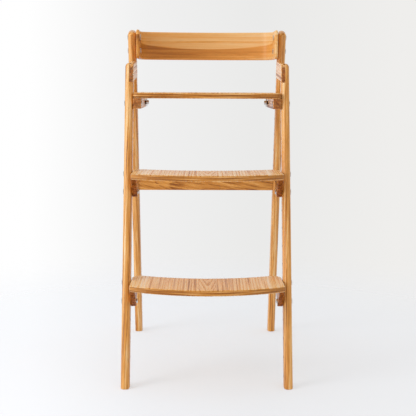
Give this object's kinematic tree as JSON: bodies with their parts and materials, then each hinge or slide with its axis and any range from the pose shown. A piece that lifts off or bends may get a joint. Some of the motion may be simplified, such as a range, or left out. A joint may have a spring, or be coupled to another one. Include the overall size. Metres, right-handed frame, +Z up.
{
  "type": "toddler counter height chair",
  "caption": "Tall A-frame wooden child's chair whose seat, footrest and step bolt into rows of height holes, with a bent wrap-round backrest between the rear posts.",
  "frame": {"origin": "on the floor, midway between the left and right legs, and midway between the front of the step and the back of the rear feet", "axes": "+X to the right as seen from the front, +Y from the front to the back, +Z up"},
  "size_m": [0.4162, 0.6384, 0.8657],
  "materials": {
    "solid_oak": "oiled oak",
    "oak_plywood": "oak-veneered plywood, oiled",
    "bent_oak": "bent oak laminate, oiled",
    "beech_dowel": "fluted beech",
    "bolt_steel": "dull plated steel",
    "plated_steel": "zinc-plated steel",
    "black_rubber": "matt black"
  },
  "bodies": {
    "frame": {"front_leg_left": "solid_oak", "rear_leg_left": "solid_oak", "front_leg_right": "solid_oak", "rear_leg_right": "solid_oak", "yoke_left": "solid_oak", "yoke_right": "solid_oak", "rear_stretcher": "solid_oak", "footrest_bracket_left": "solid_oak", "footrest_bracket_right": "solid_oak", "step_bracket_left": "solid_oak", "step_bracket_right": "solid_oak", "seat_bracket_left": "solid_oak", "seat_bracket_right": "solid_oak", "footrest_board": "oak_plywood", "step_board": "oak_plywood", "seat_board": "oak_plywood", "backrest": "bent_oak", "stretcher_dowels": "beech_dowel", "backrest_bolts": "bolt_steel", "backrest_cap_nuts": "bolt_steel", "footrest_inserts": "plated_steel", "step_inserts": "plated_steel", "footrest_nuts": "plated_steel", "step_nuts": "plated_steel", "seat_front_nuts": "plated_steel", "seat_washers": "plated_steel", "seat_rear_nuts": "plated_steel", "footrest_screws": "plated_steel", "step_screws": "plated_steel", "seat_screws": "plated_steel", "seat_bushes": "black_rubber", "backrest_spacers": "black_rubber"},
    "footrest_bolts_left": {"footrest_bolts_left": "bolt_steel"},
    "footrest_bolts_right": {"footrest_bolts_right": "bolt_steel"},
    "step_bolts_left": {"step_bolts_left": "bolt_steel"},
    "step_bolts_right": {"step_bolts_right": "bolt_steel"},
    "seat_bolts_left": {"seat_bolts_left": "bolt_steel"},
    "seat_bolts_right": {"seat_bolts_right": "bolt_steel"}
  },
  "joints": [
    {"name": "footrest_bolts_left_draw", "type": "slide", "parent": "frame", "child": "footrest_bolts_left", "axis": [-1, 0, 0], "range_m": [0, 0.046]},
    {"name": "footrest_bolts_right_draw", "type": "slide", "parent": "frame", "child": "footrest_bolts_right", "axis": [1, 0, 0], "range_m": [0, 0.046]},
    {"name": "step_bolts_left_draw", "type": "slide", "parent": "frame", "child": "step_bolts_left", "axis": [-1, 0, 0], "range_m": [0, 0.046]},
    {"name": "step_bolts_right_draw", "type": "slide", "parent": "frame", "child": "step_bolts_right", "axis": [1, 0, 0], "range_m": [0, 0.046]},
    {"name": "seat_bolts_left_draw", "type": "slide", "parent": "frame", "child": "seat_bolts_left", "axis": [-1, 0, 0], "range_m": [0, 0.056]},
    {"name": "seat_bolts_right_draw", "type": "slide", "parent": "frame", "child": "seat_bolts_right", "axis": [1, 0, 0], "range_m": [0, 0.056]}
  ]
}
